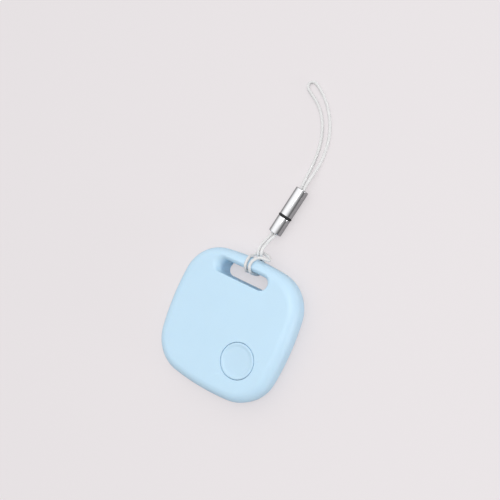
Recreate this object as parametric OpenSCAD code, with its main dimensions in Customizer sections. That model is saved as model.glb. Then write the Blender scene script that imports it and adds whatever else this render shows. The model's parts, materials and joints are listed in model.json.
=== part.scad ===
// Square tracker tag with rounded corners, a strap slot, a corner button and a clasped hand strap.
// Millimetres. The origin is the centre of the back face, +Z is the front, +Y points to the slot.

/* [Body] */
// Side length of the square body
body_size = 42; // [41.8:0.1:42.2]
// Thickness from the back face to the front face
body_t = 8; // [7.9:0.05:8.2]
// Radius of the rounded front edge
front_round = 3.2; // [2.8:0.1:3.4]
// Radius of the rounded back edge
back_round = 2.8; // [2.4:0.1:2.9]
// Thickness of the outer walls
wall = 1.2; // [1.1:0.05:1.25]

/* [Rear cover] */
// Height of the seam round the back's rounded edge
seam_z = 1.1; // [1.05:0.05:1.2]
// Seam across the back, below the strap slot
seam_y = 12.4; // [12.2:0.1:12.6]
// Gap between the cover and the front shell
seam_gap = 0.05; // [0.03:0.01:0.1]
// Height of the lip that enters the front shell
lip_top = 4; // [3.8:0.1:4.2]

/* [Strap slot] */
// Distance from the body's centre to the slot's middle line
slot_y = 15.225; // [15.2:0.005:15.25]
// Distance of the slot's middle to the left of the body's middle
slot_left = 0.6; // [0:0.1:0.8]
// Length of the slot over its round ends
slot_l = 17.1; // [16.5:0.1:17.5]
// Height of the slot
slot_h = 4.15; // [4.1:0.05:4.2]
// Radius of the rounded rim on the bar's side
rim_round = 1.6; // [1.4:0.1:1.7]
// Wider rounding at the slot's left end
left_round = 2.6; // [2.2:0.1:2.8]

/* [Button] */
// Distance of the button's centre to the right of the middle
button_x = 9; // [8.5:0.1:9.5]
// Distance of the button's centre below the middle
button_drop = 8; // [7.5:0.1:8.5]
// Radius of the hole in the front wall
button_hole_r = 5.58; // [5.4:0.02:5.8]
// Width of the groove round the cap
button_gap = 0.16; // [0.1:0.02:0.2]
// Height of the cap above the front face
button_proud = 0.12; // [0:0.02:0.2]

/* [Battery] */
// Diameter of the coin cell
cell_d = 20; // [20:0.1:20]
// Thickness of the coin cell
cell_t = 3.2; // [3.2:0.1:3.2]

/* [Clasp] */
// Diameter of the two metal barrels
barrel_d = 4; // [3.8:0.1:4.2]
// Length of the barrel next to the tag
lower_l = 5.3; // [5:0.1:5.6]
// Length of the barrel that holds the hand loop
upper_l = 8.8; // [8.6:0.1:9]
// Thickness of the rubber ring between the barrels
ring_t = 0.6; // [0.5:0.05:0.7]
// Diameter of the cord
cord_d = 0.9; // [0.8:0.05:0.95]

/* [Hidden] */

$fn = 64;
tiny = 0.01;
far = 60;

// Outline: a shallow arc on each side, joined by tighter corner arcs
side_r = 80;
corner_r = 12;
side_steps = 4;
corner_steps = 12;
side_back = side_r - body_size / 2;
corner_c = (sqrt(2 * pow(side_r - corner_r, 2) - pow(side_back, 2)) - side_back) / 2;
join_a = atan2(corner_c, corner_c + side_back);
back_steps = 4;
front_steps = 6;

// Inside of the front shell
ceiling_z = body_t - wall;
cavity_round = front_round - wall;
cavity_y = 11.4;

// Rear cover
cover_floor = seam_z - seam_gap;
lip_gap = 0.2;
lip_in = wall + lip_gap;
lip_w = 0.9;
lip_y = cavity_y - lip_gap;
groove_d = 0.35;
groove_z = 2.8;
groove_h = 0.6;

// Rings down the rounded rim of the slot
rim_steps = 8;

// Fingernail notch above the seam, at the corner next to the button
notch_w = 5;
notch_top = 3.1;
notch_deep = 0.7;
notch_a = -53;

// Back relief behind the bar, so that the cord clears the surface it lies on
relief_z = 1.15;
relief_half = 7.6;
relief_edge = 1.3;
bar_in_y = slot_y + slot_h / 2;
bar_out_y = body_size / 2;

// Board, frame and battery heights
board_z = 4.9;
board_t = 0.6;
board_top = board_z + board_t;
board_in = 1.9;
board_y = 10.9;
frame_z = 2.6;
frame_top = 4.85;
frame_in = lip_in + lip_w + 0.3;
frame_y = lip_y - lip_w - 0.3;
cell_at = [-2.5, -1];
cell_z = 1.3;
can_wall = 0.25;
can_t = cell_t - 0.2;
cap_r = 8.85;
cell_clear = 0.3;

// Screws through the frame and the board into bosses on the front wall
screw_spots = [[-14.6, 7.2], [14.6, 7.2], [-12.6, -12.6]];
screw_r = 0.7;
screw_head_r = 1.2;
screw_head_z = 2.9;
screw_seat_z = 3.6;
boss_r = 1.5;

// Button and the switch under it
button_at = [button_x, -button_drop];
cap_r_out = button_hole_r - button_gap;
cap_under = 6.35;
cap_edge = 0.25;
rim_w = 0.55;
dish = 0.25;
flange_r = 6.3;
flange_top = ceiling_z - 0.05;
nub_r = 1.8;
switch_w = 4.2;
switch_top = 6;
lid_t = 0.1;
plunger_r = 1;
well_r = 1.35;
well_z = 5.6;

// Buzzer under the front wall
buzzer_at = [-5, 2.5];
buzzer_r = 7.5;
ceramic_r = 5.5;
tape_z = ceiling_z - 0.1;
plate_z = tape_z - 0.15;
ceramic_z = plate_z - 0.12;

// The clasp lies on the same surface as the tag, on the thickness of its rubber ring
ring_r = 2.15;
clasp_at = [1, 30, ring_r];
clasp_turn = -11;
cord_bore_r = 1.1;
cord_bore_l = 1.8;
plug_r = 1.2;
plug_gap = 0.05;
socket_z = 2.1;
plug_start = 2.3;
plug_seat = 3.5;
upper_z = lower_l + ring_t;
upper_cord_l = 2.1;
barrel_edge = 0.2;

// Route of the hitch: lower barrel, up behind the bar, through the slot, over the bar's front,
// round the two strands as a loop, over the front again and back to the barrel
hitch_route = [
    [0.83, 31.7, 2.15], [0.5, 30.1, 2.2], [0.2, 29, 2.4], [-0.25, 27.4, 3.1], [-0.5, 25.6, 4],
    [-0.45, 24, 4.6], [-0.15, 22.8, 4.65], [0, 22, 4], [0, 21.65, 2.75], [-0.05, 21.1, 1.45],
    [-0.15, 19.8, 0.65], [-0.25, 18.3, 0.65], [-0.3, 17.1, 1.5], [-0.35, 16.75, 2.8],
    [-0.35, 16.75, 4.6], [-0.35, 16.8, 6.4], [-0.35, 17.1, 7.5], [-0.4, 17.8, 8.25], [-0.5, 18.6, 8.5],
    [-0.7, 19.4, 8.2], [-0.9, 20.2, 7.65], [-1.1, 20.9, 6.9], [-1.2, 21.4, 5.8], [-1.1, 21.9, 4.7],
    [-0.8, 22.6, 3.75], [0, 23.2, 3.2], [1.2, 23.3, 3.05], [2.4, 23.1, 3.3], [3.5, 22.75, 3.95],
    [4.4, 22.4, 4.9], [4.65, 22.15, 5.9], [4.05, 22.1, 6.75], [3, 22, 7.1], [1.95, 21.65, 7.1],
    [1.15, 21.1, 7.05], [0.8, 20.3, 7.6], [0.8, 19.5, 8.15], [0.9, 18.6, 8.5], [1.1, 17.8, 8.25],
    [1.2, 17.1, 7.5], [1.25, 16.8, 6.4], [1.25, 16.75, 4.6], [1.25, 16.75, 2.8], [1.2, 17.1, 1.5],
    [1.1, 18.3, 0.65], [1.05, 19.8, 0.65], [1, 21.1, 1.45], [1, 21.65, 2.75], [1, 22, 4],
    [0.95, 22.8, 4.65], [0.65, 24, 4.6], [0.6, 25.6, 4], [0.85, 27.4, 3.1], [1.25, 29, 2.4],
    [1.5, 30, 2.2], [1.8, 31.6, 2.15]
];

// Route of the hand loop: out of the upper barrel, down to the surface, round and back
loop_route = [
    [2.95, 42.65, 2.15], [3.2, 44.4, 2.15], [3.2, 46.3, 1.95], [3.05, 48.5, 1.4], [2.9, 53.2, 0.6],
    [2.6, 57, 0.5], [1.7, 61, 0.5], [0.1, 64.6, 0.5], [-2, 67.5, 0.5], [-4.4, 69.6, 0.5],
    [-6.4, 70.95, 0.5], [-7.9, 71.95, 0.5], [-8.75, 72.95, 0.5], [-8.5, 74.05, 0.5], [-7.3, 74.5, 0.5],
    [-5.9, 73.9, 0.5], [-3.2, 71.95, 0.5], [-0.2, 69, 0.5], [2.5, 65, 0.5], [4.1, 61.2, 0.5],
    [4.85, 57, 0.5], [4.85, 52.8, 0.65], [4.3, 48, 1.5], [4.2, 46.1, 2], [4.15, 44.4, 2.15],
    [3.9, 42.5, 2.15]
];

// Points of one quarter of the outline, moved inwards by inset
function quarter(inset) = concat(
    [for (i = [0:side_steps - 1])
        let (a = join_a * (2 * i / side_steps - 1))
        [(side_r - inset) * cos(a) - side_back, (side_r - inset) * sin(a)]],
    [for (i = [0:corner_steps - 1])
        let (a = join_a + (90 - 2 * join_a) * i / corner_steps)
        [corner_c + (corner_r - inset) * cos(a), corner_c + (corner_r - inset) * sin(a)]]);
function turned(p, a) = [p[0] * cos(a) - p[1] * sin(a), p[0] * sin(a) + p[1] * cos(a)];
function outline(inset) = [for (q = [0:3]) for (p = quarter(inset)) turned(p, 90 * q)];
function at_height(points, z) = [for (p = points) [p[0], p[1], z]];

// A closed skin over rings that have the same number of points
function skin_faces(n, m) = concat(
    [[for (i = [0:n - 1]) i]],
    [for (j = [0:m - 2]) for (i = [0:n - 1]) [j * n + i, (j + 1) * n + i, (j + 1) * n + (i + 1) % n]],
    [for (j = [0:m - 2]) for (i = [0:n - 1]) [j * n + i, (j + 1) * n + (i + 1) % n, j * n + (i + 1) % n]],
    [[for (i = [n - 1:-1:0]) (m - 1) * n + i]]);
module skin(rings) {
    polyhedron([for (r = rings) each r], skin_faces(len(rings[0]), len(rings)), convexity = 6);
}

// The whole body's outer form, with both edges rounded
module body_form() {
    skin(concat(
        [for (i = [0:back_steps])
            let (a = 90 * i / back_steps)
            at_height(outline(back_round * (1 - sin(a))), back_round * (1 - cos(a)))],
        [for (i = [0:front_steps])
            let (a = 90 * i / front_steps)
            at_height(outline(front_round * (1 - cos(a))), body_t - front_round * (1 - sin(a)))]));
}

// A plate with the body's outline, moved inwards and cut straight at y_max
module plate(inset, y_max, z0, z1) {
    translate([0, 0, z0])
        linear_extrude(z1 - z0)
            intersection() {
                polygon(outline(inset));
                translate([-far / 2, y_max - far])
                    square(far);
            }
}

// The front shell's hollow, with a rounded ceiling edge, ending below the slot
module cavity() {
    intersection() {
        skin(concat(
            [at_height(outline(wall), seam_z - 1)],
            [for (i = [0:4])
                let (a = 90 * i / 4)
                at_height(outline(wall + cavity_round * (1 - cos(a))),
                          ceiling_z - cavity_round * (1 - sin(a)))]));
        translate([-far / 2, cavity_y - far, 0])
            cube([far, far, body_t]);
    }
}

// How far a rim rounded at radius r has opened at a depth below the face
function rim_growth(r, depth) = depth >= r ? 0 : r - sqrt(r * r - (r - depth) * (r - depth));
// Stadium outline of the slot at a depth below the face, grown towards the bar and at its left end
function slot_outline(depth) = [for (e = [0, 1]) for (i = [0:10])
    let (a = 180 * e - 90 + 18 * i,
         grow = rim_growth(rim_round, depth),
         r = (slot_h + grow) / 2,
         x = (slot_l - slot_h) / 2,
         left_x = x + max(0, rim_growth(left_round, depth) - grow / 2))
    [(e == 0 ? x : -left_x) - slot_left + r * cos(a), slot_y + grow / 2 + r * sin(a)]];
module slot_cut() {
    skin(concat(
        [at_height(slot_outline(body_t), -1)],
        [for (i = [0:rim_steps])
            let (depth = left_round * (1 - sin(90 * i / rim_steps)))
            at_height(slot_outline(depth), body_t - depth)],
        [at_height(slot_outline(0), body_t + 1)]));
}

// Prism that thins the bar at the back and takes off its two corners there
module bar_relief() {
    translate([relief_half, 0, 0])
        rotate([90, 0, -90])
            linear_extrude(2 * relief_half)
                mirror([1, 0])
                    polygon([[bar_in_y - 1, -1], [bar_in_y - 1, relief_z + relief_edge + 1],
                             [bar_in_y, relief_z + relief_edge], [bar_in_y + relief_edge, relief_z],
                             [bar_out_y - relief_edge, relief_z], [bar_out_y + 1, relief_z + relief_edge + 1],
                             [bar_out_y + 1, -1]]);
}

// Each child once at every screw
module at_screws() {
    for (s = screw_spots)
        translate([s[0], s[1], 0])
            children();
}

// A vertical cylinder between two heights
module post(r, z0, z1) {
    translate([0, 0, z0])
        cylinder(r = r, h = z1 - z0);
}

module front_shell() {
    color([0.74, 0.88, 0.98])
        difference() {
            union() {
                difference() {
                    body_form();
                    translate([-far / 2, seam_y - far, -1])
                        cube([far, far, seam_z + 1]);
                    cavity();
                }
                at_screws()
                    post(boss_r, board_top, ceiling_z + tiny);
            }
            slot_cut();
            bar_relief();
            translate(button_at)
                post(button_hole_r, ceiling_z - 1, body_t + 1);
            at_screws()
                post(screw_r + 0.02, board_top - 1, ceiling_z + 0.4);
            translate([corner_c, -corner_c, seam_z - 1])
                rotate([0, 0, notch_a])
                    translate([corner_r - notch_deep, -notch_w / 2, 0])
                        cube([2, notch_w, notch_top - seam_z + 1]);
        }
}

module rear_cover() {
    color([0.72, 0.86, 0.97])
        difference() {
            union() {
                intersection() {
                    body_form();
                    translate([-far / 2, seam_y - seam_gap - far, -1])
                        cube([far, far, seam_z - seam_gap + 1]);
                }
                plate(lip_in, lip_y, cover_floor - tiny, lip_top);
            }
            plate(lip_in + lip_w, lip_y - lip_w, cover_floor, lip_top + 1);
            difference() {
                plate(lip_in - 0.1, lip_y + 0.1, groove_z, groove_z + groove_h);
                plate(lip_in + groove_d, lip_y - groove_d, groove_z - 1, groove_z + groove_h + 1);
            }
        }
}

module cover_seal() {
    color([0.2, 0.2, 0.22])
        difference() {
            plate(wall + 0.05, cavity_y - 0.05, groove_z + 0.05, groove_z + groove_h - 0.05);
            plate(lip_in + groove_d, lip_y - groove_d, groove_z - 1, groove_z + groove_h + 1);
        }
}

module button_cap() {
    top = body_t + button_proud;
    color([0.71, 0.86, 0.97])
        translate(button_at)
            rotate_extrude()
                polygon(concat(
                    [[0, cap_under], [nub_r, cap_under], [nub_r, 7], [4.9, 7], [4.9, cap_under],
                     [flange_r, cap_under], [flange_r, flange_top], [cap_r_out, flange_top]],
                    [for (i = [0:4])
                        let (a = 22.5 * i)
                        [cap_r_out - cap_edge * (1 - cos(a)), top - cap_edge * (1 - sin(a))]],
                    [[cap_r_out - rim_w, top], [cap_r_out - 2 * rim_w, top - 0.6 * dish],
                     [cap_r_out - 3 * rim_w, top - 0.9 * dish], [0, top - dish]]));
}

module inner_frame() {
    color([0.9, 0.91, 0.92])
        difference() {
            plate(frame_in, frame_y, frame_z, frame_top);
            translate(cell_at)
                post(cell_d / 2 + cell_clear, frame_z - 1, frame_top + 1);
            at_screws() {
                post(screw_head_r + 0.15, frame_z - 1, screw_seat_z);
                post(screw_r + 0.1, frame_z - 1, frame_top + 1);
            }
            // pocket for the positive contact
            translate([-13.7, -3.2, frame_z - 1])
                cube([2.5, 4.4, frame_top]);
            translate([-15.4, -3.2, 4.6])
                cube([3, 4.4, 1]);
            // finger notches beside the cell
            translate([cell_at[0] + cell_d / 2, cell_at[1] - 3, frame_z - 1])
                cube([3, 6, 2.4]);
        }
}

module main_board() {
    color([0.07, 0.3, 0.2])
        difference() {
            plate(board_in, board_y, board_z, board_top);
            at_screws()
                post(screw_r + 0.1, board_z - 1, board_top + 1);
        }
}

module radio_chip() {
    color([0.12, 0.12, 0.13])
        translate([-12.5, -9.5, board_top])
            difference() {
                cube([5, 5, 0.85]);
                translate([0.6, 4.4, 0.8])
                    cylinder(r = 0.25, h = 1);
            }
}

module clock_crystals() {
    color([0.8, 0.8, 0.82]) {
        translate([-5.6, -9.4, board_top])
            cube([2, 1.6, 0.5]);
        translate([-5.4, -12, board_top])
            cube([1.6, 1, 0.4]);
    }
}

// Folded copper trace on the right edge of the board
module board_antenna() {
    rows = 9;
    pitch = 1.1;
    run = 2.6;
    trace = 0.45;
    trace_t = 0.06;
    color([0.85, 0.6, 0.3])
        translate([15.9, -5.4, board_top])
            for (i = [0:rows - 1]) {
                translate([0, i * pitch, 0])
                    cube([run, trace, trace_t]);
                if (i < rows - 1)
                    translate([i % 2 == 0 ? run - trace : 0, i * pitch, 0])
                        cube([trace, pitch + trace, trace_t]);
            }
}

module board_passives() {
    color([0.6, 0.5, 0.4])
        for (i = [0:4])
            for (j = [0:1])
                translate([-6.8 + 1.6 * i, -6.6 + 1.2 * j, board_top])
                    cube([1, 0.5, 0.35]);
}

module boost_inductor() {
    color([0.25, 0.25, 0.27])
        translate([-3.2, -16, board_top])
            cube([3, 2.6, 0.95]);
}

module switch_housing() {
    color([0.15, 0.15, 0.16])
        translate(button_at)
            difference() {
                translate([-switch_w / 2, -switch_w / 2, board_top])
                    cube([switch_w, switch_w, switch_top - board_top]);
                post(well_r, well_z, switch_top + 1);
            }
}

module switch_cover() {
    color([0.8, 0.8, 0.82])
        translate(button_at)
            difference() {
                translate([-switch_w / 2, -switch_w / 2, switch_top])
                    cube([switch_w, switch_w, lid_t]);
                post(plunger_r + 0.05, switch_top - 1, switch_top + 1);
            }
}

module switch_plunger() {
    color([0.9, 0.9, 0.88])
        translate(button_at) {
            post(plunger_r, 5.86, cap_under - 0.02);
            post(well_r - 0.07, 5.86, 5.97);
        }
}

module switch_dome() {
    rise = 0.2;
    metal = 0.05;
    color([0.85, 0.85, 0.8])
        translate(button_at)
            rotate_extrude()
                polygon([[0, well_z + rise], [1.25, well_z], [1.25, well_z + metal],
                         [0, well_z + rise + metal]]);
}

module battery_can() {
    color([0.78, 0.78, 0.8])
        translate(cell_at)
            difference() {
                post(cell_d / 2, cell_z, cell_z + can_t);
                post(cell_d / 2 - can_wall, cell_z + can_wall, cell_z + can_t + 1);
            }
}

module battery_gasket() {
    color([0.3, 0.3, 0.32])
        translate(cell_at)
            difference() {
                post(cell_d / 2 - can_wall, cell_z + can_wall, cell_z + can_t);
                post(cap_r, cell_z, cell_z + cell_t);
            }
}

module battery_cap() {
    color([0.82, 0.82, 0.84])
        translate(cell_at)
            post(cap_r, cell_z + can_wall, cell_z + cell_t);
}

module positive_contact() {
    strip = 0.2;
    side_x = -13.3;
    color([0.85, 0.75, 0.45]) {
        translate([side_x, -2.4, 2.9])
            cube([strip, 2.8, board_z - 2.9]);
        translate([side_x - 1.5, -2.4, board_z - strip])
            cube([1.6, 2.8, strip]);
        translate([side_x + 0.4, 0.1, 3.5])
            rotate([90, 0, 0])
                cylinder(r = 0.33, h = 2.2);
    }
}

module negative_contact() {
    rim_z = board_z - 0.12;
    color([0.85, 0.75, 0.45])
        translate(cell_at) {
            difference() {
                post(4.6, rim_z, board_z);
                post(3.8, rim_z - 1, board_z + 1);
            }
            for (a = [0, 120, 240])
                rotate([0, 0, a])
                    translate([4, 0, rim_z])
                        rotate([0, -4, 0])
                            translate([-3, -0.5, 0])
                                cube([3, 1, 0.1]);
        }
}

module buzzer_plate() {
    color([0.8, 0.65, 0.3])
        translate(buzzer_at)
            post(buzzer_r, plate_z, tape_z);
}

module buzzer_ceramic() {
    color([0.88, 0.87, 0.82])
        translate(buzzer_at)
            post(ceramic_r, ceramic_z, plate_z);
}

module buzzer_tape() {
    color([0.3, 0.3, 0.3])
        translate(buzzer_at)
            difference() {
                post(buzzer_r, tape_z, ceiling_z);
                post(buzzer_r - 1.2, tape_z - 1, ceiling_z + 1);
            }
}

// Two bent leaf contacts from the board to the buzzer: one on the ceramic, one on the plate
module buzzer_contacts() {
    leaf = 0.12;
    color([0.85, 0.75, 0.45])
        for (c = [[[-5, 2], ceramic_z - tiny], [[0.9, 3.4], plate_z - tiny]])
            translate([c[0][0], c[0][1], board_top])
                rotate([90, 0, 0])
                    linear_extrude(1)
                        polygon([[0, 0], [1.6, 0], [1.6, leaf], [0.4, leaf],
                                 [1.1, c[1] - board_top], [0.9, c[1] - board_top],
                                 [0, 2 * leaf]]);
}

module board_screws() {
    color([0.75, 0.75, 0.78])
        at_screws()
            difference() {
                union() {
                    post(screw_head_r, screw_head_z, screw_seat_z);
                    post(screw_r, screw_head_z, ceiling_z + 0.3);
                }
                for (a = [0, 90])
                    rotate([0, 0, a])
                        translate([-0.7, -0.15, screw_head_z - 1])
                            cube([1.4, 0.3, 1.35]);
            }
}

// A tube with eight sides along a route
function unit(v) = v / norm(v);
function tangent(p, i) = unit(p[min(i + 1, len(p) - 1)] - p[max(i - 1, 0)]);
function square_to(n, t) = unit(n - (n * t) * t);
function normals(p, i, n) = i == len(p) ? []
    : let (m = square_to(n, tangent(p, i))) concat([m], normals(p, i + 1, m));
module tube(route, d) {
    across = normals(route, 0, [0, 0, 1]);
    skin([for (i = [0:len(route) - 1])
        let (n = across[i], b = cross(tangent(route, i), n))
        [for (k = [0:7]) route[i] + d / 2 * (cos(45 * k) * n + sin(45 * k) * b)]]);
}

// Local Z runs along the clasp, away from the tag
module on_clasp() {
    translate(clasp_at)
        rotate([0, 0, clasp_turn])
            rotate([-90, 0, 0])
                children();
}

// A barrel with small edge bevels
module barrel(z0, l) {
    r = barrel_d / 2;
    rotate_extrude()
        polygon([[0, z0], [r - barrel_edge, z0], [r, z0 + barrel_edge],
                 [r, z0 + l - barrel_edge], [r - barrel_edge, z0 + l], [0, z0 + l]]);
}

module lower_barrel() {
    color([0.8, 0.81, 0.83])
        on_clasp()
            difference() {
                barrel(0, lower_l);
                post(cord_bore_r, -1, cord_bore_l);
                post(plug_r + plug_gap, socket_z, lower_l + 1);
            }
}

module upper_barrel() {
    end_z = upper_z + upper_l;
    color([0.8, 0.81, 0.83])
        on_clasp()
            difference() {
                barrel(upper_z, upper_l);
                post(plug_r, upper_z - 1, upper_z + plug_seat);
                post(cord_bore_r, end_z - upper_cord_l, end_z + 1);
            }
}

module clasp_plug() {
    color([0.7, 0.71, 0.73])
        on_clasp()
            rotate_extrude()
                polygon([[0, plug_start], [plug_r - 0.3, plug_start], [plug_r, plug_start + 0.3],
                         [plug_r, upper_z + plug_seat], [0, upper_z + plug_seat]]);
}

module clasp_ring() {
    color([0.08, 0.08, 0.09])
        on_clasp()
            rotate_extrude()
                polygon([[plug_r, lower_l + 0.02], [ring_r - 0.2, lower_l + 0.02],
                         [ring_r, lower_l + ring_t / 2], [ring_r - 0.2, upper_z], [plug_r, upper_z]]);
}

module hitch_cord() {
    color([0.93, 0.93, 0.93])
        tube(hitch_route, cord_d);
}

module hand_loop() {
    color([0.93, 0.93, 0.93])
        tube(loop_route, cord_d);
}

front_shell();
rear_cover();
cover_seal();
button_cap();
inner_frame();
main_board();
radio_chip();
clock_crystals();
board_antenna();
board_passives();
boost_inductor();
switch_housing();
switch_cover();
switch_plunger();
switch_dome();
battery_can();
battery_cap();
battery_gasket();
positive_contact();
negative_contact();
buzzer_plate();
buzzer_ceramic();
buzzer_tape();
buzzer_contacts();
board_screws();
hitch_cord();
lower_barrel();
upper_barrel();
clasp_plug();
clasp_ring();
hand_loop();
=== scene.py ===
"""Looks for the square tracker tag: satin shells, a dished button, a chromed clasp and a thin nylon cord."""
import json
import math

import bmesh
import bpy
from mathutils import Matrix, Vector


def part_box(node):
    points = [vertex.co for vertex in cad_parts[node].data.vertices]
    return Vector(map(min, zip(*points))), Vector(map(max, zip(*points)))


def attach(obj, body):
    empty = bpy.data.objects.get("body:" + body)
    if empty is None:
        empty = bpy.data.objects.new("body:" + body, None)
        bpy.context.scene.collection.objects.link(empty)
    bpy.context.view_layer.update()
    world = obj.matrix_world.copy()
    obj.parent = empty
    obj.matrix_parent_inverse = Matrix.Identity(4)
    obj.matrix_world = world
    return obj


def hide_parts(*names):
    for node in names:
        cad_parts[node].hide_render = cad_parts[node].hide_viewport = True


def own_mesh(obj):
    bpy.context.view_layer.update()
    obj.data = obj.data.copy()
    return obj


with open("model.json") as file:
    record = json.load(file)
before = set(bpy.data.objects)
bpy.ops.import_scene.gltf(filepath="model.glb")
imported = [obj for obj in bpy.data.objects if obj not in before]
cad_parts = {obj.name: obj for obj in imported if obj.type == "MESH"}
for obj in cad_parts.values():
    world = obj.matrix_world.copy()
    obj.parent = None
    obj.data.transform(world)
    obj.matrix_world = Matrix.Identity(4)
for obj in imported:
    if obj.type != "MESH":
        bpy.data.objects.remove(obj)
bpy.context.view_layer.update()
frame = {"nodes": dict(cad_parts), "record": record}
MM = 0.001

# ---------------------------------------------------------------- sizes, in metres, as the CAD frame has them
SHELL_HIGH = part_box("front_shell")[1]
HALF = SHELL_HIGH[0]
FACE_Z = SHELL_HIGH[2]
SIDE_R = 80 * MM
CORNER_R = 12 * MM
FRONT_ROUND = 3.2 * MM
BACK_ROUND = 2.8 * MM
WALL = 1.2 * MM
CEILING_Z = FACE_Z - WALL
CAVITY_Y = 11.4 * MM
SEAM_Z = 1.1 * MM
SEAM_Y = 12.4 * MM
SEAM_GAP = 0.05 * MM
SEAM_SOFT = 0.14 * MM
LIP_IN = 1.4 * MM
LIP_W = 0.9 * MM
LIP_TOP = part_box("rear_cover")[1][2]
LIP_Y = 11.2 * MM
SLOT_X = -0.6 * MM
SLOT_Y = 15.225 * MM
SLOT_L = 17.1 * MM
SLOT_H = 4.15 * MM
RIM_ROUND = 1.6 * MM
LEFT_ROUND = 2.6 * MM
BUTTON_AT = 0.5 * (Vector(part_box("button_cap")[0]) + Vector(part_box("button_cap")[1]))
BUTTON_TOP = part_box("button_cap")[1][2]
BUTTON_HOLE_R = 5.58 * MM
BUTTON_R = 5.42 * MM
SCREWS_AT = ((-14.6, 7.2), (14.6, 7.2), (-12.6, -12.6))
BOSS_R = 1.5 * MM
BOSS_Z = 5.5 * MM
SCREW_BORE_R = 0.72 * MM
SCREW_BORE_Z = 4.5 * MM
CLASP_AT = Vector((1.0, 30.0, 2.15)) * MM
CLASP_TURN = math.radians(-11)
CORD_D = 0.9 * MM

# Routes of the two cords, as in the CAD model
HITCH_ROUTE = [
    (0.83, 31.7, 2.15), (0.5, 30.1, 2.2), (0.2, 29, 2.4), (-0.25, 27.4, 3.1), (-0.5, 25.6, 4),
    (-0.45, 24, 4.6), (-0.15, 22.8, 4.65), (0, 22, 4), (0, 21.65, 2.75), (-0.05, 21.1, 1.45),
    (-0.15, 19.8, 0.65), (-0.25, 18.3, 0.65), (-0.3, 17.1, 1.5), (-0.35, 16.75, 2.8),
    (-0.35, 16.75, 4.6), (-0.35, 16.8, 6.4), (-0.35, 17.1, 7.5), (-0.4, 17.8, 8.25), (-0.5, 18.6, 8.5),
    (-0.7, 19.4, 8.2), (-0.9, 20.2, 7.65), (-1.1, 20.9, 6.9), (-1.2, 21.4, 5.8), (-1.1, 21.9, 4.7),
    (-0.8, 22.6, 3.75), (0, 23.2, 3.2), (1.2, 23.3, 3.05), (2.4, 23.1, 3.3), (3.5, 22.75, 3.95),
    (4.4, 22.4, 4.9), (4.65, 22.15, 5.9), (4.05, 22.1, 6.75), (3, 22, 7.1), (1.95, 21.65, 7.1),
    (1.15, 21.1, 7.05), (0.8, 20.3, 7.6), (0.8, 19.5, 8.15), (0.9, 18.6, 8.5), (1.1, 17.8, 8.25),
    (1.2, 17.1, 7.5), (1.25, 16.8, 6.4), (1.25, 16.75, 4.6), (1.25, 16.75, 2.8), (1.2, 17.1, 1.5),
    (1.1, 18.3, 0.65), (1.05, 19.8, 0.65), (1, 21.1, 1.45), (1, 21.65, 2.75), (1, 22, 4),
    (0.95, 22.8, 4.65), (0.65, 24, 4.6), (0.6, 25.6, 4), (0.85, 27.4, 3.1), (1.25, 29, 2.4),
    (1.5, 30, 2.2), (1.8, 31.6, 2.15),
]
LOOP_ROUTE = [
    (2.95, 42.65, 2.15), (3.2, 44.4, 2.15), (3.2, 46.3, 1.95), (3.05, 48.5, 1.4), (2.9, 53.2, 0.6),
    (2.6, 57, 0.5), (1.7, 61, 0.5), (0.1, 64.6, 0.5), (-2, 67.5, 0.5), (-4.4, 69.6, 0.5),
    (-6.4, 70.95, 0.5), (-7.9, 71.95, 0.5), (-8.75, 72.95, 0.5), (-8.5, 74.05, 0.5), (-7.3, 74.5, 0.5),
    (-5.9, 73.9, 0.5), (-3.2, 71.95, 0.5), (-0.2, 69, 0.5), (2.5, 65, 0.5), (4.1, 61.2, 0.5),
    (4.85, 57, 0.5), (4.85, 52.8, 0.65), (4.3, 48, 1.5), (4.2, 46.1, 2), (4.15, 44.4, 2.15),
    (3.9, 42.5, 2.15),
]


# ---------------------------------------------------------------- camera
def make_camera():
    """The view from above the tag's right side, rolled so that the strap runs up to the right."""
    right = Vector((0.7878, 0.3875, -0.4788))
    up = Vector((-0.4133, 0.9089, 0.0555))
    toward = Vector((0.4567, 0.1541, 0.8762))
    centre = Vector((0, 0, FACE_Z / 2))
    away = 0.196
    data = bpy.data.cameras.new("camera")
    data.sensor_width = 36
    data.lens = 47.1
    data.shift_x = 0.041
    data.shift_y = 0.148
    data.clip_start = 0.005
    data.clip_end = 10
    cam = bpy.data.objects.new("camera", data)
    turn = Matrix((right, up, toward)).transposed().to_4x4()
    cam.matrix_world = Matrix.Translation(centre + away * toward) @ turn
    bpy.context.scene.collection.objects.link(cam)
    bpy.context.scene.camera = cam


make_camera()


# ---------------------------------------------------------------- mesh tools
def add_object(name, data):
    obj = bpy.data.objects.new(name, data)
    bpy.context.scene.collection.objects.link(obj)
    return obj


def smooth_route(points, steps):
    """A Catmull-Rom curve through the points, as vectors in metres."""
    p = [Vector(q) * MM for q in points]
    p = [2 * p[0] - p[1]] + p + [2 * p[-1] - p[-2]]
    out = []
    for i in range(1, len(p) - 2):
        a, b, c, d = p[i - 1:i + 3]
        for k in range(steps):
            t = k / steps
            out.append(0.5 * (2 * b + (c - a) * t + (2 * a - 5 * b + 4 * c - d) * t * t
                              + (3 * b - a - 3 * c + d) * t ** 3))
    return out + [p[-2]]


def cord_curve(name, points):
    """A round cord as one open spline."""
    data = bpy.data.curves.new(name, "CURVE")
    data.dimensions = "3D"
    data.bevel_depth = CORD_D / 2
    data.bevel_resolution = 6
    data.use_fill_caps = True
    path = smooth_route(points, 8)
    spline = data.splines.new("POLY")
    spline.points.add(len(path) - 1)
    for point, place in zip(spline.points, path):
        point.co = (*place, 1)
    spline.use_smooth = True
    return add_object(name, data), path


SIDE_BACK = SIDE_R - HALF
CORNER_C = (math.sqrt(2 * (SIDE_R - CORNER_R) ** 2 - SIDE_BACK ** 2) - SIDE_BACK) / 2
JOIN_A = math.atan2(CORNER_C, CORNER_C + SIDE_BACK)


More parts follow.
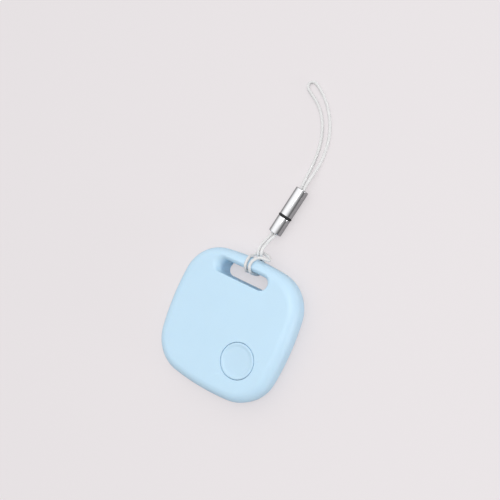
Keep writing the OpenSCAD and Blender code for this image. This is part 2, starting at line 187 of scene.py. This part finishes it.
def outline(inset, side_steps=20, corner_steps=36):
    """The body's outline moved inwards by inset: a shallow arc on each side, joined by corner arcs."""
    quarter = []
    for i in range(side_steps):
        a = JOIN_A * (2 * i / side_steps - 1)
        quarter.append(((SIDE_R - inset) * math.cos(a) - SIDE_BACK, (SIDE_R - inset) * math.sin(a)))
    for i in range(corner_steps):
        a = JOIN_A + (math.pi / 2 - 2 * JOIN_A) * i / corner_steps
        quarter.append((CORNER_C + (CORNER_R - inset) * math.cos(a),
                        CORNER_C + (CORNER_R - inset) * math.sin(a)))
    points = []
    for c, s in ((1, 0), (0, 1), (-1, 0), (0, -1)):
        points += [(x * c - y * s, x * s + y * c) for x, y in quarter]
    return points


def level(points, z):
    return [Vector((x, y, z)) for x, y in points]


def skin(name, rings, closed=False):
    """A closed mesh over rings of the same number of points. With closed, the last ring joins the first."""
    mesh = bpy.data.meshes.new(name)
    n = len(rings[0])
    verts = [v for ring in rings for v in ring]
    pairs = len(rings) if closed else len(rings) - 1
    faces = []
    for j in range(pairs):
        a, b = j * n, (j + 1) % len(rings) * n
        faces += [(a + i, a + (i + 1) % n, b + (i + 1) % n, b + i) for i in range(n)]
    if not closed:
        faces.append(tuple(reversed(range(n))))
        faces.append(tuple(range((len(rings) - 1) * n, len(rings) * n)))
    mesh.from_pydata([tuple(v) for v in verts], [], faces)
    work = bmesh.new()
    work.from_mesh(mesh)
    bmesh.ops.triangulate(work, faces=[f for f in work.faces if len(f.verts) > 4])
    bmesh.ops.recalc_face_normals(work, faces=work.faces)
    work.to_mesh(mesh)
    work.free()
    return add_object(name, mesh)


def prism_x(name, profile, x0, x1):
    """A profile of (y, z) points drawn out along X."""
    return skin(name, [[Vector((x, y, z)) for y, z in profile] for x in (x0, x1)])


def post(name, at, r, z0, z1, count=64):
    ring = [(at[0] + r * math.cos(2 * math.pi * i / count), at[1] + r * math.sin(2 * math.pi * i / count))
            for i in range(count)]
    return skin(name, [level(ring, z0), level(ring, z1)])


def lathe(name, profile, count=96):
    """A profile of (radius, height) points turned round Z. Points on the axis become poles."""
    mesh = bpy.data.meshes.new(name)
    work = bmesh.new()
    rings = []
    for r, z in profile:
        if r < 1e-9:
            rings.append([work.verts.new((0, 0, z))])
        else:
            rings.append([work.verts.new((r * math.cos(2 * math.pi * i / count),
                                          r * math.sin(2 * math.pi * i / count), z)) for i in range(count)])
    for a, b in zip(rings, rings[1:]):
        for i in range(count):
            j = (i + 1) % count
            corners = [a[i % len(a)], a[j % len(a)], b[j % len(b)], b[i % len(b)]]
            unique = list(dict.fromkeys(corners))
            if len(unique) > 2:
                work.faces.new(unique)
    bmesh.ops.recalc_face_normals(work, faces=work.faces)
    work.to_mesh(mesh)
    work.free()
    return add_object(name, mesh)


def arc(cx, cz, r, a0, a1, steps):
    """Points on an arc, angles in degrees from +X towards +Z."""
    angles = [math.radians(a0 + (a1 - a0) * i / steps) for i in range(steps + 1)]
    return [(cx + r * math.cos(a), cz + r * math.sin(a)) for a in angles]


def carve(obj, tool, operation="DIFFERENCE"):
    """Cuts obj with tool, or joins or intersects the two, and removes the tool."""
    mod = obj.modifiers.new("carve", "BOOLEAN")
    mod.operation = operation
    mod.solver = "EXACT"
    mod.object = tool
    bpy.context.view_layer.update()
    graph = bpy.context.evaluated_depsgraph_get()
    mesh = bpy.data.meshes.new_from_object(obj.evaluated_get(graph))
    obj.modifiers.clear()
    old = obj.data
    obj.data = mesh
    bpy.data.meshes.remove(old)
    bpy.data.objects.remove(tool, do_unlink=True)
    return obj


def finish_surface(obj, angle=35):
    """Smooth shading with sharp edges kept, weighted so that flat faces stay flat."""
    work = bmesh.new()
    work.from_mesh(obj.data)
    bmesh.ops.remove_doubles(work, verts=work.verts, dist=1e-7)
    bmesh.ops.dissolve_degenerate(work, edges=work.edges, dist=1e-7)
    work.to_mesh(obj.data)
    work.free()
    for face in obj.data.polygons:
        face.use_smooth = True
    obj.data.set_sharp_from_angle(angle=math.radians(angle))
    mod = obj.modifiers.new("even_normals", "WEIGHTED_NORMAL")
    mod.keep_sharp = True
    mod.weight = 80


# ---------------------------------------------------------------- cords
hitch, hitch_path = cord_curve("hitch_cord_soft", HITCH_ROUTE)
hand_loop, loop_path = cord_curve("hand_loop_soft", LOOP_ROUTE)


# ---------------------------------------------------------------- plastic shells
def back_inset(z):
    """How far the rounded back edge stands in from the outline at height z."""
    if z >= BACK_ROUND:
        return 0.0
    return BACK_ROUND - math.sqrt(BACK_ROUND ** 2 - (BACK_ROUND - z) ** 2)


def body_form(name):
    back = [(BACK_ROUND * (1 - math.sin(a)), BACK_ROUND * (1 - math.cos(a)))
            for a in (math.pi / 2 * i / 12 for i in range(13))]
    front = [(FRONT_ROUND * (1 - math.cos(a)), FACE_Z - FRONT_ROUND * (1 - math.sin(a)))
             for a in (math.pi / 2 * i / 20 for i in range(21))]
    return skin(name, [level(outline(inset), z) for inset, z in back + front])


def below_y(name, y_max, z0, z1, soft=0.0):
    """A block below y_max, its edge at z = 0 moved out by soft."""
    far = 3 * HALF
    profile = [(-far, z0), (y_max + soft, z0), (y_max + soft, 0), (y_max, abs(soft)), (y_max, z1), (-far, z1)]
    return prism_x(name, profile, -far, far)


def plate(name, inset, y_max, z0, z1):
    solid = skin(name, [level(outline(inset), z0), level(outline(inset), z1)])
    return carve(solid, below_y("clip", y_max, z0 - WALL, z1 + WALL), "INTERSECT")


def seam_clip(name, z, soft, y_max, y_soft):
    """Everything behind the seam. soft > 0 eases the shell's outer edge, soft < 0 the cover's."""
    edge = [(-WALL, z + soft), (back_inset(z + soft), z + soft), (back_inset(z) + abs(soft), z)]
    rings = [level(outline(-WALL), -WALL)] + [level(outline(i), h) for i, h in edge]
    return carve(skin(name, rings), below_y("clip", y_max, -2 * WALL, z + WALL, y_soft), "INTERSECT")


def stadium(grow_bar, grow_face, grow_left=0.0, count=24):
    """The slot's outline, grown towards the bar, towards the face and at its left end."""
    r = (SLOT_H + grow_bar + grow_face) / 2
    y = SLOT_Y + (grow_bar - grow_face) / 2
    x = (SLOT_L - SLOT_H) / 2
    left_x = x + max(0.0, grow_left - (grow_bar + grow_face) / 2)
    turns = [math.pi * (i / count - 0.5) for i in range(count + 1)]
    right = [(SLOT_X + x + r * math.cos(a), y + r * math.sin(a)) for a in turns]
    left = [(SLOT_X - left_x - r * math.cos(a), y - r * math.sin(a)) for a in turns]
    return right + left


def round_over(r, depth):
    """How far a rim rounded at radius r has opened at a depth below its face."""
    if depth >= r:
        return 0.0
    return r - math.sqrt(max(0.0, r * r - (r - depth) ** 2))


def slot_tool():
    """Cutter for the strap slot: wide rounding by the bar and at the left end, a crisp rim elsewhere."""
    crisp, back = 0.22 * MM, 0.6 * MM
    depths = sorted({LEFT_ROUND * (1 - math.sin(math.pi / 2 * i / 24)) for i in range(25)}
                    | {crisp * (1 - math.sin(math.pi / 2 * i / 4)) for i in range(4)}, reverse=True)
    backs = [back * (1 - math.cos(math.pi / 2 * i / 6)) for i in range(7)]
    rings = [level(stadium(back, back), -WALL)]
    rings += [level(stadium(round_over(back, d), round_over(back, d)), d) for d in backs]
    for d in depths:
        mouth = stadium(round_over(RIM_ROUND, d), round_over(crisp, d), round_over(LEFT_ROUND, d))
        rings.append(level(mouth, FACE_Z - d))
    rings.append(level(stadium(RIM_ROUND, crisp, LEFT_ROUND), FACE_Z + WALL))
    return skin("slot_tool", rings)


def relief_tool():
    """Cutter that thins the bar at the back so that the cord clears the table, with soft run-outs."""
    deep, r, half, run = 1.15 * MM, 1.3 * MM, 7.6 * MM, 1.4 * MM
    y0, y1 = SLOT_Y + SLOT_H / 2, HALF
    rings = []
    for i in range(25):
        x = -half - run + (2 * half + 2 * run) * i / 24
        reach = max(0.0, abs(x) - (half - run)) / (2 * run)
        z = deep - (deep + 0.1 * MM) * (1 - math.cos(math.pi * min(1.0, reach))) / 2
        profile = [(y0 - MM, -MM), (y0 - MM, z + r + MM)]
        profile += arc(y0 + r, z + r, r, 180, 270, 8)
        profile += arc(y1 - r, z + r, r, 270, 360, 8)
        profile += [(y1 + MM, z + r + MM), (y1 + MM, -MM)]
        rings.append([Vector((x, py, pz)) for py, pz in profile])
    return skin("relief_tool", rings)


def cavity_tool():
    inner = FRONT_ROUND - WALL
    arcs = [(WALL + inner * (1 - math.cos(a)), CEILING_Z - inner * (1 - math.sin(a)))
            for a in (math.pi / 2 * i / 8 for i in range(9))]
    solid = skin("cavity_tool", [level(outline(WALL), -WALL)] + [level(outline(i), z) for i, z in arcs])
    return carve(solid, below_y("clip", CAVITY_Y, -2 * WALL, FACE_Z), "INTERSECT")


def button_hole_tool():
    """Cutter for the button's hole, with a small lead-in at the face."""
    r, soft = BUTTON_HOLE_R, 0.1 * MM
    tool = lathe("button_hole_tool", [(0, CEILING_Z - MM), (r, CEILING_Z - MM), (r, FACE_Z - soft),
                                      (r + 0.3 * soft, FACE_Z - 0.3 * soft), (r + soft, FACE_Z),
                                      (r + soft, FACE_Z + MM), (0, FACE_Z + MM)], 128)
    tool.data.transform(Matrix.Translation((BUTTON_AT.x, BUTTON_AT.y, 0)))
    return tool


def notch_tool():
    """Cutter for the fingernail notch above the seam: a shallow scoop in the corner wall."""
    turn, half, top, deep = math.radians(-53), 2.5 * MM, 3.1 * MM, 0.7 * MM
    ring = arc(0, 0, half, 0, 360, 32)[:-1]
    rings = []
    for z, inset in ((-MM, 0.0), (top - 0.25 * MM, 0.0), (top - 0.06 * MM, 0.07 * MM), (top, 0.25 * MM)):
        k = 1 - inset / half
        rings.append([Vector((CORNER_R - deep + half * 0.55 + px * k * 0.55, py * k, z)) for px, py in ring])
    tool = skin("notch_tool", rings)
    tool.data.transform(Matrix.Translation((CORNER_C, -CORNER_C, 0)) @ Matrix.Rotation(turn, 4, "Z"))
    return tool


def make_front_shell():
    shell = body_form("front_shell_skin")
    carve(shell, seam_clip("seam_tool", SEAM_Z, SEAM_SOFT, SEAM_Y, SEAM_SOFT))
    carve(shell, cavity_tool())
    carve(shell, slot_tool())
    carve(shell, relief_tool())
    carve(shell, button_hole_tool())
    carve(shell, notch_tool())
    for x, y in SCREWS_AT:
        at = (x * MM, y * MM)
        boss = post("boss", at, BOSS_R, BOSS_Z, CEILING_Z + 0.01 * MM)
        carve(shell, boss, "UNION")
        carve(shell, post("bore", at, SCREW_BORE_R, SCREW_BORE_Z, CEILING_Z + 0.4 * MM))
    finish_surface(shell)
    return shell


def make_rear_cover():
    top = SEAM_Z - SEAM_GAP
    cover = body_form("rear_cover_skin")
    carve(cover, seam_clip("seam_tool", top, -SEAM_SOFT, SEAM_Y - SEAM_GAP, -SEAM_SOFT), "INTERSECT")
    lip = plate("lip", LIP_IN, LIP_Y, top - 0.02 * MM, LIP_TOP)
    carve(lip, plate("lip_core", LIP_IN + LIP_W, LIP_Y - LIP_W, top - MM, LIP_TOP + MM))
    groove = plate("groove", LIP_IN - 0.1 * MM, LIP_Y + 0.1 * MM, 2.8 * MM, 3.4 * MM)
    carve(groove, plate("groove_core", LIP_IN + 0.35 * MM, LIP_Y - 0.35 * MM, 2 * MM, 4 * MM))
    carve(lip, groove)
    carve(cover, lip, "UNION")
    finish_surface(cover)
    return cover


front_shell = make_front_shell()
rear_cover = make_rear_cover()


def make_button():
    """The cap: a rounded rim round a shallow dish, a skirt behind the wall and a stem over the switch."""
    r, edge, rim, dish = BUTTON_R, 0.3 * MM, 0.5 * MM, 0.25 * MM
    top, under, flange, flange_top = BUTTON_TOP, 6.35 * MM, 6.3 * MM, 6.75 * MM
    profile = [(0, under), (1.8 * MM, under), (1.8 * MM, 7 * MM), (4.9 * MM, 7 * MM), (4.9 * MM, under),
               (flange, under), (flange, flange_top), (r, flange_top)]
    profile += arc(r - edge, top - edge, edge, 0, 90, 8)
    fall = 0.9 * MM
    steps = 16
    for i in range(1, steps + 1):
        t = i / steps
        profile.append((r - edge - rim * 0.3 - fall * t, top - dish * 0.85 * (3 * t * t - 2 * t ** 3)))
    profile += [(1.6 * MM, top - dish), (0, top - dish)]
    cap = lathe("button_cap_skin", profile, 128)
    cap.data.transform(Matrix.Translation((BUTTON_AT.x, BUTTON_AT.y, 0)))
    finish_surface(cap, 40)
    return cap


button = make_button()


def make_dome():
    """The switch's thin metal dome, with true curvature."""
    low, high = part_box("switch_dome")
    r, metal = (high[0] - low[0]) / 2, 0.05 * MM
    rise = high[2] - low[2] - metal
    sphere = (r * r + rise * rise) / (2 * rise)
    steps = 10
    under = [(r * i / steps, low[2] + rise - sphere + math.sqrt(sphere ** 2 - (r * i / steps) ** 2))
             for i in range(steps + 1)]
    over = [(x, z + metal) for x, z in reversed(under)]
    dome = lathe("switch_dome_skin", under + over, 64)
    dome.data.transform(Matrix.Translation((BUTTON_AT.x, BUTTON_AT.y, 0)))
    finish_surface(dome, 40)
    return dome


dome = make_dome()


# ---------------------------------------------------------------- clasp
def on_clasp(obj):
    turn = Matrix.Rotation(CLASP_TURN, 4, "Z") @ Matrix.Rotation(math.radians(-90), 4, "X")
    obj.data.transform(Matrix.Translation(CLASP_AT) @ turn)
    finish_surface(obj, 40)
    return obj


def barrel(name, z0, length, low_bore, high_bore):
    """A barrel with rounded ends. Each bore is (radius, depth)."""
    r, soft = 2.0 * MM, 0.22 * MM
    z1 = z0 + length
    lead = 0.12 * MM
    profile = [(0, z0 + low_bore[1]), (low_bore[0], z0 + low_bore[1]), (low_bore[0], z0 + lead)]
    profile += arc(low_bore[0] + lead, z0 + lead, lead, 180, 270, 4)
    profile += arc(r - soft, z0 + soft, soft, 270, 360, 6)
    profile += arc(r - soft, z1 - soft, soft, 0, 90, 6)
    profile += arc(high_bore[0] + lead, z1 - lead, lead, 90, 180, 4)
    profile += [(high_bore[0], z1 - high_bore[1]), (0, z1 - high_bore[1])]
    return on_clasp(lathe(name, profile, 128))


lower_barrel = barrel("lower_barrel_skin", 0, 5.3 * MM, (1.1 * MM, 1.8 * MM), (1.25 * MM, 3.2 * MM))
upper_barrel = barrel("upper_barrel_skin", 5.9 * MM, 8.8 * MM, (1.2 * MM, 3.5 * MM), (1.1 * MM, 2.1 * MM))


def make_ring():
    """The rubber ring: a round bead squeezed between the barrels."""
    z0, z1, r_in, r_out = 5.32 * MM, 5.9 * MM, 1.2 * MM, 2.15 * MM
    bead = (z1 - z0) / 2
    mid = (z0 + z1) / 2
    profile = [(r_in, z0)] + arc(r_out - bead, mid, bead, -90, 90, 12) + [(r_in, z1)]
    mesh = skin("ring", [[Vector((r * math.cos(a), r * math.sin(a), z)) for r, z in profile]
                         for a in (2 * math.pi * i / 96 for i in range(96))], closed=True)
    mesh.name = "clasp_ring_skin"
    return on_clasp(mesh)


def make_plug():
    """The plug that the lower barrel snaps over, with a detent groove near its nose."""
    r = 1.2 * MM
    nose, seat = 2.3 * MM, 9.4 * MM
    profile = [(0, nose)] + arc(r - 0.35 * MM, nose + 0.35 * MM, 0.35 * MM, 270, 360, 6)
    for i in range(9):
        a = math.pi * i / 8
        profile.append((r - 0.14 * MM * math.sin(a), nose + 1.0 * MM + 0.5 * MM * i / 8))
    profile += [(r, seat), (0, seat)]
    return on_clasp(lathe("clasp_plug_skin", profile, 96))


ring = make_ring()
plug = make_plug()


# ---------------------------------------------------------------- materials
def material(name, color, roughness, metallic=0.0, **more):
    """A principled material. Returns it with its node tree and shader."""
    mat = bpy.data.materials.new(name)
    mat.use_nodes = True
    shader = mat.node_tree.nodes["Principled BSDF"]
    shader.inputs["Base Color"].default_value = (*color, 1)
    shader.inputs["Roughness"].default_value = roughness
    shader.inputs["Metallic"].default_value = metallic
    for key, value in more.items():
        shader.inputs[key.replace("_", " ")].default_value = value
    return mat, mat.node_tree, shader


def node(tree, kind, **values):
    made = tree.nodes.new(kind)
    for key, value in values.items():
        if key in made.inputs:
            made.inputs[key].default_value = value
        else:
            setattr(made, key, value)
    return made


def position(tree):
    """Object coordinates in millimetres."""
    coords = node(tree, "ShaderNodeTexCoord")
    scale = node(tree, "ShaderNodeVectorMath", operation="SCALE")
    scale.inputs["Scale"].default_value = 1000
    tree.links.new(coords.outputs["Object"], scale.inputs[0])
    return scale.outputs[0]


def noise(tree, vector, scale, detail=3.0, roughness=0.5):
    made = node(tree, "ShaderNodeTexNoise")
    made.inputs["Scale"].default_value = scale
    made.inputs["Detail"].default_value = detail
    made.inputs["Roughness"].default_value = roughness
    tree.links.new(vector, made.inputs["Vector"])
    return made.outputs["Fac"]


def spread(tree, value, low, high):
    """Maps 0.3..0.7 of a noise to low..high."""
    made = node(tree, "ShaderNodeMapRange")
    made.inputs["From Min"].default_value = 0.3
    made.inputs["From Max"].default_value = 0.7
    made.inputs["To Min"].default_value = low
    made.inputs["To Max"].default_value = high
    tree.links.new(value, made.inputs["Value"])
    return made.outputs["Result"]


def blend_colors(tree, value, a, b):
    ramp = node(tree, "ShaderNodeValToRGB")
    ramp.color_ramp.elements[0].position = 0.3
    ramp.color_ramp.elements[0].color = (*a, 1)
    ramp.color_ramp.elements[1].position = 0.7
    ramp.color_ramp.elements[1].color = (*b, 1)
    tree.links.new(value, ramp.inputs["Fac"])
    return ramp.outputs["Color"]


def bump(tree, shader, height, strength, distance):
    made = node(tree, "ShaderNodeBump")
    made.inputs["Strength"].default_value = strength
    made.inputs["Distance"].default_value = distance
    tree.links.new(height, made.inputs["Height"])
    tree.links.new(made.outputs["Normal"], shader.inputs["Normal"])


def shade(color, factor):
    return tuple(c * factor for c in color)


def satin_plastic(name, color):
    """Moulded plastic with a fine spark-eroded grain."""
    mat, tree, shader = material(name, color, 0.42)
    where = position(tree)
    drift = noise(tree, where, 0.12, 2)
    tree.links.new(blend_colors(tree, drift, shade(color, 0.985), color), shader.inputs["Base Color"])
    grain = noise(tree, where, 9.0, 4, 0.6)
    tree.links.new(spread(tree, grain, 0.38, 0.46), shader.inputs["Roughness"])
    bump(tree, shader, grain, 0.10, 0.00004)
    shader.inputs["Subsurface Weight"].default_value = 0.08
    shader.inputs["Subsurface Radius"].default_value = (0.6, 0.8, 1.0)
    shader.inputs["Subsurface Scale"].default_value = 0.0008
    return mat


def polished_metal(name, color, roughness, lines=0.0):
    """Turned and plated metal: faint smudges, and fine turning lines where asked."""
    mat, tree, shader = material(name, color, roughness, 1.0)
    where = position(tree)
    smudge = noise(tree, where, 0.9, 3)
    tree.links.new(spread(tree, smudge, roughness * 0.8, roughness * 1.5), shader.inputs["Roughness"])
    if lines:
        bump(tree, shader, noise(tree, where, 14, 2), lines, 0.00002)
    return mat


def rubber(name, color):
    mat, tree, shader = material(name, color, 0.6)
    where = position(tree)
    grain = noise(tree, where, 6, 3)
    tree.links.new(spread(tree, grain, 0.5, 0.7), shader.inputs["Roughness"])
    bump(tree, shader, grain, 0.15, 0.00003)
    return mat


def nylon(name, color):
    """Thin smooth cord that lets a little light through."""
    mat, tree, shader = material(name, color, 0.5, IOR=1.35)
    where = position(tree)
    fibre = noise(tree, where, 5, 4)
    tree.links.new(blend_colors(tree, fibre, shade(color, 0.94), color), shader.inputs["Base Color"])
    bump(tree, shader, fibre, 0.2, 0.00003)
    shader.inputs["Subsurface Weight"].default_value = 0.35
    shader.inputs["Subsurface Radius"].default_value = (1.0, 1.0, 1.0)
    shader.inputs["Subsurface Scale"].default_value = 0.0006
    return mat


def board_mask(name, color):
    """Solder mask with the faint raised lines of the tracks under it."""
    mat, tree, shader = material(name, color, 0.3)
    where = position(tree)
    tracks = node(tree, "ShaderNodeTexBrick")
    tracks.inputs["Scale"].default_value = 0.55
    tracks.inputs["Mortar Size"].default_value = 0.04
    tracks.inputs["Color1"].default_value = (*color, 1)
    tracks.inputs["Color2"].default_value = (*shade(color, 1.25), 1)
    tracks.inputs["Mortar"].default_value = (*shade(color, 1.9), 1)
    tree.links.new(where, tracks.inputs["Vector"])
    tree.links.new(tracks.outputs["Color"], shader.inputs["Base Color"])
    bump(tree, shader, tracks.outputs["Fac"], 0.2, 0.00002)
    return mat


def speckled(name, a, b, roughness, scale):
    mat, tree, shader = material(name, a, roughness)
    where = position(tree)
    grain = noise(tree, where, scale, 4, 0.6)
    tree.links.new(blend_colors(tree, grain, a, b), shader.inputs["Base Color"])
    bump(tree, shader, grain, 0.12, 0.00002)
    return mat


BLUE = (0.57, 0.785, 0.95)
LOOKS = {
    "shell_blue": satin_plastic("shell_blue_look", BLUE),
    "button_blue": satin_plastic("button_blue_look", shade(BLUE, 0.97)),
    "seal_rubber": rubber("seal_rubber_look", (0.012, 0.012, 0.014)),
    "frame_plastic": speckled("frame_plastic_look", (0.66, 0.67, 0.68), (0.74, 0.75, 0.76), 0.5, 3),
    "board_green": board_mask("board_green_look", (0.01, 0.075, 0.035)),
    "chip_black": speckled("chip_black_look", (0.012, 0.012, 0.013), (0.022, 0.022, 0.024), 0.55, 8),
    "nickel": polished_metal("nickel_look", (0.66, 0.65, 0.62), 0.22),
    "copper": polished_metal("copper_look", (0.85, 0.45, 0.28), 0.3),
    "spring_gold": polished_metal("spring_gold_look", (0.86, 0.66, 0.3), 0.24),
    "passive_tan": speckled("passive_tan_look", (0.3, 0.2, 0.12), (0.4, 0.28, 0.17), 0.5, 6),
    "switch_white": speckled("switch_white_look", (0.72, 0.72, 0.68), (0.8, 0.8, 0.77), 0.45, 6),
    "cell_steel": polished_metal("cell_steel_look", (0.6, 0.6, 0.61), 0.28, 0.2),
    "buzzer_brass": polished_metal("buzzer_brass_look", (0.8, 0.6, 0.28), 0.3, 0.2),
    "piezo_ceramic": speckled("piezo_ceramic_look", (0.68, 0.66, 0.58), (0.76, 0.74, 0.67), 0.7, 5),
    "tape_black": rubber("tape_black_look", (0.015, 0.015, 0.015)),
    "screw_steel": polished_metal("screw_steel_look", (0.55, 0.55, 0.57), 0.3),
    "clasp_chrome": polished_metal("clasp_chrome_look", (0.84, 0.84, 0.86), 0.06),
    "cord_white": nylon("cord_white_look", (0.79, 0.79, 0.79)),
}


def dress(obj, slot_name):
    obj.data.materials.clear()
    obj.data.materials.append(LOOKS[slot_name])


SLOTS = {part["node"]: part["material_slot"] for part in frame["record"]["subparts"]}
NEW_PIECES = [
    (front_shell, "front_shell", "root"), (rear_cover, "rear_cover", "cover"),
    (button, "button_cap", "button"), (lower_barrel, "lower_barrel", "root"),
    (upper_barrel, "upper_barrel", "strap"), (plug, "clasp_plug", "strap"),
    (ring, "clasp_ring", "strap"), (hitch, "hitch_cord", "root"), (hand_loop, "hand_loop", "strap"),
    (dome, "switch_dome", "root"),
]
for piece, cad_node, body in NEW_PIECES:
    dress(piece, SLOTS[cad_node])
    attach(piece, body)
    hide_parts(cad_node)
for cad_node, obj in frame["nodes"].items():
    dress(obj, SLOTS[cad_node])

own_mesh(dome)


# ---------------------------------------------------------------- floor and light
def make_floor():
    """A pale lit table: its glow keeps shadows faint to the camera, and polished metal mirrors it darker."""
    side = 4.0
    mesh = bpy.data.meshes.new("floor")
    corners = [(-side, -side, 0), (side, -side, 0), (side, side, 0), (-side, side, 0)]
    mesh.from_pydata(corners, [], [(0, 1, 2, 3)])
    floor = add_object("floor", mesh)
    pale, glow_share, mirrored = (0.8, 0.765, 0.775), 0.6, 0.42
    mat, tree, shader = material("floor_look", pale, 0.9)
    glow = node(tree, "ShaderNodeEmission", Color=(0.823, 0.782, 0.799, 1))
    dim = node(tree, "ShaderNodeBsdfDiffuse", Color=(*shade(pale, mirrored), 1))
    path = node(tree, "ShaderNodeLightPath")
    share = node(tree, "ShaderNodeMath", operation="MULTIPLY")
    share.inputs[1].default_value = glow_share
    lit = node(tree, "ShaderNodeMixShader")
    seen = node(tree, "ShaderNodeMixShader")
    tree.links.new(path.outputs["Is Camera Ray"], share.inputs[0])
    tree.links.new(share.outputs["Value"], lit.inputs["Fac"])
    tree.links.new(shader.outputs["BSDF"], lit.inputs[1])
    tree.links.new(glow.outputs["Emission"], lit.inputs[2])
    tree.links.new(path.outputs["Is Glossy Ray"], seen.inputs["Fac"])
    tree.links.new(lit.outputs["Shader"], seen.inputs[1])
    tree.links.new(dim.outputs["BSDF"], seen.inputs[2])
    tree.links.new(seen.outputs["Shader"], tree.nodes["Material Output"].inputs["Surface"])
    floor.data.materials.append(mat)


def area_light(name, place, aim, size, power):
    data = bpy.data.lights.new(name, "AREA")
    data.shape = "RECTANGLE"
    data.size, data.size_y = size
    data.energy = power
    lamp = add_object(name, data)
    lamp.location = place
    lamp.rotation_euler = (Vector(aim) - Vector(place)).to_track_quat("-Z", "Y").to_euler()


def make_world():
    """A large soft light overhead that fades towards the horizon. The backdrop seen directly stays plain."""
    world = bpy.data.worlds.new("studio")
    world.use_nodes = True
    bpy.context.scene.world = world
    tree = world.node_tree
    sky = tree.nodes["Background"]
    coords = node(tree, "ShaderNodeTexCoord")
    toward = node(tree, "ShaderNodeVectorMath", operation="DOT_PRODUCT")
    toward.inputs[1].default_value = Vector((-0.233, 0.264, 0.936)).normalized()
    fade = node(tree, "ShaderNodeMapRange", interpolation_type="SMOOTHSTEP")
    fade.inputs["From Min"].default_value = -0.02
    fade.inputs["From Max"].default_value = 1.22
    fade.inputs["To Min"].default_value = 0.16
    fade.inputs["To Max"].default_value = 1.32
    tree.links.new(coords.outputs["Generated"], toward.inputs[0])
    tree.links.new(toward.outputs["Value"], fade.inputs["Value"])
    tree.links.new(fade.outputs["Result"], sky.inputs["Strength"])
    sky.inputs["Color"].default_value = (1, 1, 1, 1)
    plain = node(tree, "ShaderNodeBackground")
    plain.inputs["Color"].default_value = (0.8, 0.77, 0.78, 1)
    path = node(tree, "ShaderNodeLightPath")
    choose = node(tree, "ShaderNodeMixShader")
    tree.links.new(path.outputs["Is Camera Ray"], choose.inputs["Fac"])
    tree.links.new(sky.outputs["Background"], choose.inputs[1])
    tree.links.new(plain.outputs["Background"], choose.inputs[2])
    tree.links.new(choose.outputs["Shader"], tree.nodes["World Output"].inputs["Surface"])


def make_lights():
    middle = (0, 0.01, 0)
    area_light("key", (0.22, 0.14, 0.5), middle, (0.25, 0.25), 0.72)
    area_light("side", (0.5, 0.03, 0.06), middle, (0.12, 0.08), 0.5)


make_floor()
make_world()
make_lights()
bpy.context.scene.view_settings.view_transform = "Standard"
